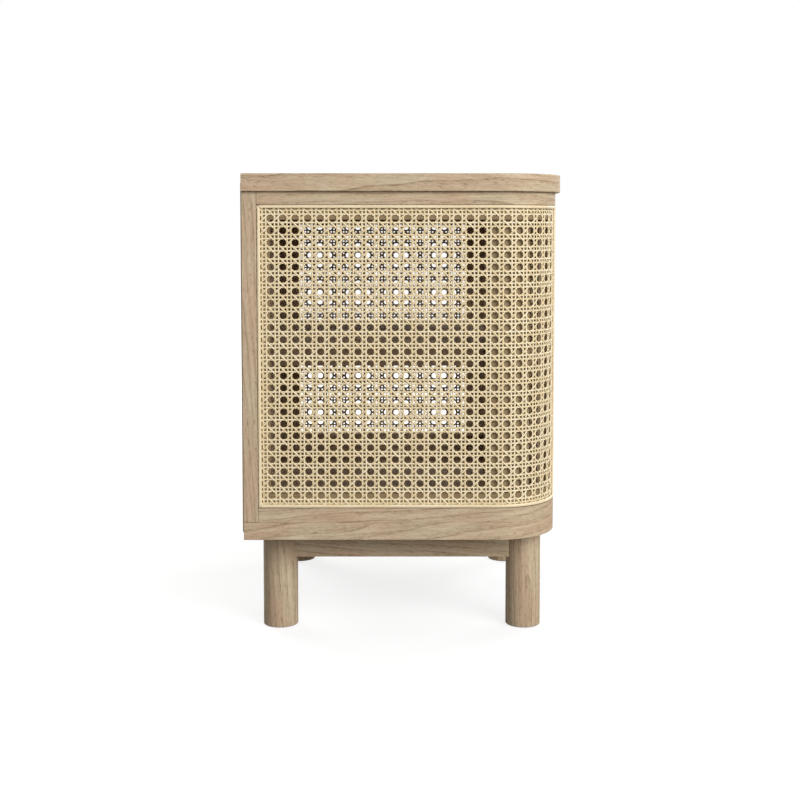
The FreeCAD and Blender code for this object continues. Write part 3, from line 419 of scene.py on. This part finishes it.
def brushed_metal(name, bright, dull, rough_low, rough_high):
    """Plate brushed lengthwise: fine scratches that widen the highlights, and slightly duller patches."""
    material, tree = new_material(name)
    place = add(tree, "TexCoord", out="Object")
    stretch = (1 / SCRATCH_WIDE, 1 / SCRATCH_WIDE, 1 / SCRATCH_LONG)
    brushing = add(tree, "Mapping", {"Vector": place, "Scale": stretch})
    scratches = add(tree, "TexNoise", {"Vector": brushing, "Scale": 1.0, "Detail": 3.0})
    patches = add(tree, "TexNoise", {"Vector": place, "Scale": 1 / METAL_PATCH, "Detail": 2.0})
    colour = add(tree, "Mix", {0: patches, COLOUR_A: linear(bright), COLOUR_B: linear(dull)},
                 out=COLOUR_MIX, data_type="RGBA")
    rough = add(tree, "MapRange", {"Value": scratches, "From Min": 0.3, "From Max": 0.7,
                                   "To Min": rough_low, "To Max": rough_high})
    relief = add(tree, "Bump", {"Strength": 0.2, "Distance": 0.05 * MM, "Height": scratches})
    skin = add(tree, "BsdfPrincipled", {"Base Color": colour, "Roughness": rough, "Metallic": 1.0,
                                        "Normal": relief})
    add(tree, "OutputMaterial", {"Surface": skin})
    return material


def moulded_abs():
    """Moulded ABS with a fine spark-eroded grain: even brown with a soft sheen."""
    material, tree = new_material("moulded_brown_abs")
    place = add(tree, "TexCoord", out="Object")
    grit = add(tree, "TexNoise", {"Vector": place, "Scale": 1 / PLASTIC_GRIT, "Detail": 3.0})
    colour = add(tree, "Mix", {0: grit, COLOUR_A: linear("#8A7158"), COLOUR_B: linear("#7A634C")},
                 out=COLOUR_MIX, data_type="RGBA")
    rough = add(tree, "MapRange", {"Value": grit, "To Min": 0.42, "To Max": 0.6})
    relief = add(tree, "Bump", {"Strength": 0.3, "Distance": 0.05 * MM, "Height": grit})
    skin = add(tree, "BsdfPrincipled", {"Base Color": colour, "Roughness": rough, "IOR": 1.53,
                                        "Normal": relief})
    add(tree, "OutputMaterial", {"Surface": skin})
    return material


def pressed_felt():
    """Pressed wool felt in its natural pale colour: a dull mat of short crossed fibres."""
    material, tree = new_material("pressed_wool_felt")
    place = add(tree, "TexCoord", out="Object")
    fibres = add(tree, "TexNoise", {"Vector": place, "Scale": 1 / FELT_FIBRE, "Detail": 6.0,
                                    "Distortion": 1.5})
    colour = add(tree, "Mix", {0: fibres, COLOUR_A: linear("#D3C3A6"), COLOUR_B: linear("#B7A483")},
                 out=COLOUR_MIX, data_type="RGBA")
    relief = add(tree, "Bump", {"Strength": 0.6, "Distance": 0.3 * MM, "Height": fibres})
    skin = add(tree, "BsdfPrincipled", {"Base Color": colour, "Roughness": 0.95, "IOR": 1.45,
                                        "Sheen Weight": 0.3, "Normal": relief})
    add(tree, "OutputMaterial", {"Surface": skin})
    return material


def finish_node(name, material):
    """Gives a CAD node its finish."""
    for place in nodes[name].material_slots:
        place.material = material


# Which way the grain runs in each member, the fittings of brass and steel, and the cuts of ply and dowels

WOOD_GRAIN = {
    "board": ["top_panel", "bottom_panel"],
    "bent": ["left_top_rail", "right_top_rail", "left_bottom_rail", "right_bottom_rail"],
    "x": ["shelf", "front_top_rail", "front_bottom_rail", "front_apron", "back_apron", "door_top_rail",
          "door_bottom_rail"],
    "y": ["left_apron", "right_apron", "door_knob"],
    "z": ["left_back_stile", "right_back_stile", "left_front_stile", "right_front_stile", "left_corner_post",
          "right_corner_post", "left_front_leg", "right_front_leg", "left_back_leg", "right_back_leg",
          "door_left_stile", "door_right_stile"],
}
BRASS_NODES = ["upper_hinge_frame_leaf", "lower_hinge_frame_leaf", "upper_hinge_pin", "lower_hinge_pin",
               "upper_hinge_door_leaf", "lower_hinge_door_leaf", "frame_hinge_screws", "door_hinge_screws"]
STEEL_NODES = ["shelf_pins", "leg_bolts", "back_screws", "catch_screws", "knob_screw", "strike_plate",
               "strike_screw"]
PLY_CUT = 3
DOWEL_CUT = 2

wooden = [(grain, member) for grain, members in WOOD_GRAIN.items() for member in members]
for cut, (grain, member) in enumerate(wooden, start=1):
    stock = STOCK_OF.get(member.split("_")[-1], WASHED_ELM)
    finish_node(member, sawn_wood("washed_elm_" + member, stock, grain, member, cut))
finish_node("back_board", sawn_wood("rotary_cut_birch_ply", BIRCH_PLY, "z", "back_board", PLY_CUT))
finish_node("frame_dowels", sawn_wood("turned_beech", BEECH, "z", "frame_dowels", DOWEL_CUT))
satin_brass = brushed_metal("satin_brushed_brass", "#D9B676", "#C29C5A", rough_low=0.26, rough_high=0.42)
for member in BRASS_NODES:
    finish_node(member, satin_brass)
zinc_steel = brushed_metal("zinc_plated_steel", "#C9CACA", "#AFB1B2", rough_low=0.28, rough_high=0.45)
for member in STEEL_NODES:
    finish_node(member, zinc_steel)
finish_node("magnet_catch", moulded_abs())
finish_node("foot_glides", pressed_felt())
cane = peeled_cane()
reed = split_reed()


# Woven cane and reed beads, laid out as distance along the sheet, lift off its middle and height


def on_side(hand):
    """How a side's cane is laid: flat from the back stile, then round the corner. hand: -1 left, 1 right."""
    def lay(along, lift, height):
        turn = np.clip((along - flat_run) * BEND_STRETCH / bend_radius, 0, None)
        radius = bend_radius + lift
        x = hand * (bend_x + radius * np.cos(turn))
        y = bend_y - radius * np.sin(turn) + np.clip(flat_run - along, 0, None)
        return np.stack([x, y, height], axis=-1)
    return lay


def on_door(along, lift, height):
    """How the door's cane is laid: flat, facing forwards."""
    middle = (door_low.y + door_high.y) / 2
    return np.stack([door_low.x + along, middle - lift, height], axis=-1)


def tube_faces(first, rings, sides):
    """Four-sided faces of a closed tube whose rings follow each other: its skin, and its two filled ends."""
    skin, ends = [], []
    for ring in range(rings - 1):
        at = first + ring * sides
        for i in range(sides):
            j = (i + 1) % sides
            skin.append((at + i, at + j, at + j + sides, at + i + sides))
    last = first + (rings - 1) * sides
    for i in range(sides // 2 - 1):
        far = sides - 1 - i
        ends.append((first + i, first + far, first + far - 1, first + i + 1))
        ends.append((last + i, last + i + 1, last + far - 1, last + far))
    return skin, ends


def tube_piece(name, tubes, lay, material, body, replaced):
    """One mesh of closed tubes, each with its own tone, that rides on a body and stands for CAD nodes."""
    tones = random.Random(TONE_SEED[name])
    points, places, skins, ends = [], [], [], []
    count = 0
    for rings, run in tubes:
        sides = rings.shape[1]
        flat = rings.reshape(-1, 3)
        points.append(lay(flat[:, 0], flat[:, 1], flat[:, 2]))
        tone = np.full(len(flat), tones.random())
        around = np.tile(np.linspace(0, BEAD_WIDE, sides), len(run))
        places.append(np.stack([np.repeat(run, sides), around, tone], axis=-1))
        skin, end = tube_faces(count, len(rings), sides)
        skins += skin
        ends += end
        count += len(flat)
    points = np.concatenate(points)
    quads = np.array(skins + ends)
    # A negative volume means that the faces look inwards, so they are turned
    p, q, r, s = (points[quads[:, i]] for i in range(4))
    if np.einsum("ij,ij->i", p, np.cross(q, r) + np.cross(r, s)).sum() < 0:
        quads = quads[:, ::-1]
    mesh = bpy.data.meshes.new(name)
    mesh.from_pydata(points.tolist(), [], quads.tolist())
    mesh.polygons.foreach_set("use_smooth", [True] * len(skins) + [False] * len(ends))
    mesh.materials.append(material)
    marked = mesh.attributes.new("strand_place", "FLOAT_VECTOR", "POINT")
    marked.data.foreach_set("vector", np.concatenate(places).astype(np.float32).ravel())
    piece = bpy.data.objects.new(name, mesh)
    bpy.context.scene.collection.objects.link(piece)
    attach(piece, body)
    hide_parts(*replaced)


def strand(centres, lifts, wide):
    """The rings of one strand, with a flat base and a narrower crown, and the distance along at each ring."""
    direction = centres[-1] - centres[0]
    across = np.array([-direction[1], direction[0]]) / np.hypot(*direction)
    corners = [(-0.5, -0.5), (0.5, -0.5), (0.5 * CROWN_SHARE, 0.5), (-0.5 * CROWN_SHARE, 0.5)]
    rings = np.empty((len(centres), len(corners), 3))
    for i, (aside, above) in enumerate(corners):
        rings[:, i, 0] = centres[:, 0] + across[0] * aside * wide
        rings[:, i, 1] = lifts + above * STRAND_THICK
        rings[:, i, 2] = centres[:, 1] + across[1] * aside * wide
    return rings, np.hypot(*(centres - centres[0]).T)


def steps_between(start, end, marks):
    """The marks, given as places within one eye, that fall between start and end, with both ends."""
    found = [i + m for i in range(math.floor(start), math.ceil(end) + 1) for m in marks]
    return np.array([start] + sorted(x for x in found if start + MARK_CLEAR < x < end - MARK_CLEAR) + [end])


def lift_at(places, marks, lifts):
    """A lift that repeats with every eye, read at places."""
    return np.interp(np.mod(places, 1), [m + i for i in (-1, 0, 1) for m in marks], lifts * 3)


def cane_strands(run, low, high, first_along, first_down):
    """Every strand of a six-way cane sheet: upright and level pairs, and a slanting strand each way per eye.

    Places are counted in eyes: a along the sheet and b down it, both from the first eye."""
    start_a, end_a = -first_along / EYE_ALONG, (run - first_along) / EYE_ALONG
    start_b, end_b = -first_down / EYE_UP, (high - low - first_down) / EYE_UP
    half_a, half_b = PAIR_HALF / EYE_ALONG, PAIR_HALF / EYE_UP
    rise = STRAND_THICK / 2
    top = (cane_thick - STRAND_THICK) / 2

    def at(a, b):
        return np.stack([first_along + a * EYE_ALONG, high - first_down - b * EYE_UP], axis=-1)

    found = []
    up_marks = [0, 0.5 - half_b, 0.5 + half_b]
    along_marks = [0, 0.5 - half_a, 0.5 + half_a]
    for column in range(math.floor(start_a) - 1, math.ceil(end_a) + 1):
        for hand in (-1, 1):
            a = column + 0.5 + hand * half_a
            if start_a + half_a / 2 < a < end_a - half_a / 2:
                b = steps_between(start_b, end_b, up_marks)
                lifts = lift_at(b, up_marks, [0, hand * rise, -hand * rise])
                found.append(strand(at(np.full_like(b, a), b), lifts, STRAND_WIDE))
    for row in range(math.floor(start_b) - 1, math.ceil(end_b) + 1):
        for hand in (-1, 1):
            b = row + 0.5 + hand * half_b
            if start_b + half_b / 2 < b < end_b - half_b / 2:
                a = steps_between(start_a, end_a, along_marks)
                lifts = lift_at(a, along_marks, [0, -hand * rise, hand * rise])
                found.append(strand(at(a, np.full_like(a, b)), lifts, STRAND_WIDE))
    slant_marks = [SLANT_HOLD, 0.5 - SLANT_HOLD, 0.5 + SLANT_HOLD, 1 - SLANT_HOLD]
    for slope in (-1, 1):
        reach = sorted((slope * start_b, slope * end_b))
        for line in range(math.floor(start_a - reach[1]) - 1, math.ceil(end_a - reach[0]) + 1):
            begin = max(start_a, line + 0.5 + reach[0])
            end = min(end_a, line + 0.5 + reach[1])
            if end - begin > SHORTEST_SLANT:
                a = steps_between(begin, end, slant_marks)
                lifts = lift_at(a, slant_marks, [slope * top, -slope * top, -slope * top, slope * top])
                found.append(strand(at(a, slope * (a - line - 0.5)), lifts, SLANT_WIDE))
    return found


def bead_strips(run, low, high, stops):
    """Four strips of reed round a cane opening, mitred, with a rounded crown and a thin gap to the frame."""
    crown = bead_thick - BEAD_STRAIGHT
    turns = [math.pi * (1 - i / BEAD_STEPS) for i in range(BEAD_STEPS + 1)]
    arc = [(BEAD_WIDE / 2 * (1 + math.cos(t)), BEAD_STRAIGHT + crown * math.sin(t)) for t in turns]
    inset, lift = np.array([(0, 0)] + arc + [(BEAD_WIDE, 0)]).T
    inset = inset + BEAD_GAP
    lift = lift + cane_thick / 2
    found = []
    for edge in ("low", "front", "high", "back"):
        if edge in ("low", "high"):
            places = np.array(stops if edge == "low" else stops[::-1])
            along = np.clip(places[:, None], inset, run - inset)
            height = np.broadcast_to(low + inset if edge == "low" else high - inset, along.shape)
        else:
            rise = [low, low + BEAD_MITRE, high - BEAD_MITRE, high]
            places = np.array(rise if edge == "front" else rise[::-1])
            height = np.clip(places[:, None], low + inset, high - inset)
            along = np.broadcast_to(run - inset if edge == "front" else inset, height.shape)
        found.append((np.stack([along, np.broadcast_to(lift, along.shape), height], axis=-1), places))
    return found


def even_start(run, spacing):
    """Where the first eye lies when a whole number of eyes is centred in a run."""
    return (run - (round(run / spacing) - 1) * spacing) / 2


bend_stops = [flat_run + (side_run - flat_run) * i / BEND_STEPS for i in range(BEND_STEPS + 1)]
for hand, side in ((-1, "left"), (1, "right")):
    strands = cane_strands(side_run, side_low.z, side_high.z, FIRST_EYE_IN, FIRST_EYE_DOWN[side])
    replaced = [side + "_cane_side", side + "_cane_corner"]
    tube_piece(side + "_cane_weave", strands, on_side(hand), cane, "carcass", replaced)
    strips = bead_strips(side_run, side_low.z, side_high.z, [0.0, BEAD_MITRE] + bend_stops)
    replaced = [side + "_cane_bead"]
    tube_piece(side + "_reed_bead", strips, on_side(hand), reed, "carcass", replaced)
strands = cane_strands(door_run, door_low.z, door_high.z, even_start(door_run, EYE_ALONG),
                       even_start(door_tall, EYE_UP))
tube_piece("door_cane_weave", strands, on_door, cane, "door", ["door_cane"])
door_stops = [0.0, BEAD_MITRE, door_run - BEAD_MITRE, door_run]
strips = bead_strips(door_run, door_low.z, door_high.z, door_stops)
tube_piece("door_reed_bead", strips, on_door, reed, "door", ["door_bead"])


# Floor, light and camera. The floor's glow rises from FLOOR_GLOW near the table to plain white further out.

FLOOR_HALF = 12.0
FLOOR_NEAR = 0.7
FLOOR_FAR = 1.8
FLOOR_GLOW = 0.80
WORLD_LIGHT = 0.15
LAMP_AIM = (0.0, 0.0, 0.3)


def seen_directly(tree):
    """1 for rays that show the backdrop itself: straight, mirrored or through glass."""
    rays = add(tree, "LightPath").node.outputs
    either = add(tree, "Math", {0: rays["Is Camera Ray"], 1: rays["Is Glossy Ray"]}, operation="MAXIMUM")
    return add(tree, "Math", {0: either, 1: rays["Is Transmission Ray"]}, operation="MAXIMUM")


def pale_floor():
    """Matt white studio floor: it takes the table's soft shadow and fades to plain white further out."""
    material, tree = new_material("matt_white_floor")
    place = add(tree, "TexCoord", out="Object")
    distance = add(tree, "VectorMath", {0: place}, out="Value", operation="LENGTH")
    glow = add(tree, "MapRange", {"Value": distance, "From Min": FLOOR_NEAR, "From Max": FLOOR_FAR,
                                  "To Min": FLOOR_GLOW, "To Max": 1.0}, interpolation_type="SMOOTHSTEP")
    matt = add(tree, "BsdfDiffuse", {"Color": linear("#8F8F8F")})
    white = add(tree, "Emission", {"Color": linear("#FFFFFF"), "Strength": glow})
    both = add(tree, "AddShader", {0: matt, 1: white})
    shown = add(tree, "MixShader", {0: seen_directly(tree), 1: matt, 2: both})
    add(tree, "OutputMaterial", {"Surface": shown})
    mesh = bpy.data.meshes.new("floor")
    reach = FLOOR_HALF
    mesh.from_pydata([(-reach, -reach, 0), (reach, -reach, 0), (reach, reach, 0), (-reach, reach, 0)], [],
                     [(0, 1, 2, 3)])
    mesh.materials.append(material)
    floor = bpy.data.objects.new("floor", mesh)
    bpy.context.scene.collection.objects.link(floor)


def studio_world(strength):
    """Even soft light from all round, shown as white."""
    world = bpy.data.worlds.new("white_studio")
    world.use_nodes = True
    tree = world.node_tree
    tree.nodes.clear()
    soft = add(tree, "Background", {"Color": linear("#FFFFFF"), "Strength": strength})
    white = add(tree, "Background", {"Color": linear("#FFFFFF"), "Strength": 1.0})
    shown = add(tree, "MixShader", {0: seen_directly(tree), 1: soft, 2: white})
    add(tree, "OutputWorld", {"Surface": shown})
    bpy.context.scene.world = world


def aim(thing, target):
    """Turns a lamp or the camera towards a point."""
    thing.rotation_euler = (Vector(target) - thing.location).to_track_quat("-Z", "Y").to_euler()


def soft_lamp(name, place, size, watts):
    """A square soft box aimed at the middle of the table."""
    light = bpy.data.lights.new(name, "AREA")
    light.shape = "SQUARE"
    light.size = size
    light.energy = watts
    lamp = bpy.data.objects.new(name, light)
    lamp.location = place
    bpy.context.scene.collection.objects.link(lamp)
    aim(lamp, LAMP_AIM)


# Soft boxes: place and size in metres, and watts

SOFT_BOXES = {
    "key_soft_box": ((-3.3, -2.6, 2.0), 2.5, 160.0),
    "front_soft_box": ((-2.6, -0.4, 1.45), 1.6, 20.0),
    "fill_soft_box": ((2.2, -2.2, 1.6), 1.6, 44.0),
    "back_soft_box": ((2.4, 1.9, 1.6), 1.6, 58.0),
    "top_soft_box": ((0.0, 0.0, 2.8), 1.6, 16.0),
}

# The camera stands to the left of the table, as in the photo: its place, its pitch in degrees, its lens and
# sensor in millimetres and its shift

EYE = (-1.8112, 0.0129, 0.517)
EYE_PITCH = 3.725
FOCAL_LENGTH = 57.36
SENSOR_WIDE = 36.0
SHIFT_UP = -0.11

pale_floor()
studio_world(WORLD_LIGHT)
for lamp, (place, size, watts) in SOFT_BOXES.items():
    soft_lamp(lamp, place, size, watts)

view = bpy.data.cameras.new("photo_view")
view.lens = FOCAL_LENGTH
view.sensor_width = SENSOR_WIDE
view.shift_y = SHIFT_UP
camera = bpy.data.objects.new("photo_view", view)
camera.location = EYE
bpy.context.scene.collection.objects.link(camera)
drop = math.radians(EYE_PITCH)
aim(camera, Vector(EYE) + Vector((math.cos(drop), 0.0, -math.sin(drop))))
bpy.context.scene.camera = camera
bpy.context.scene.view_settings.view_transform = "Standard"
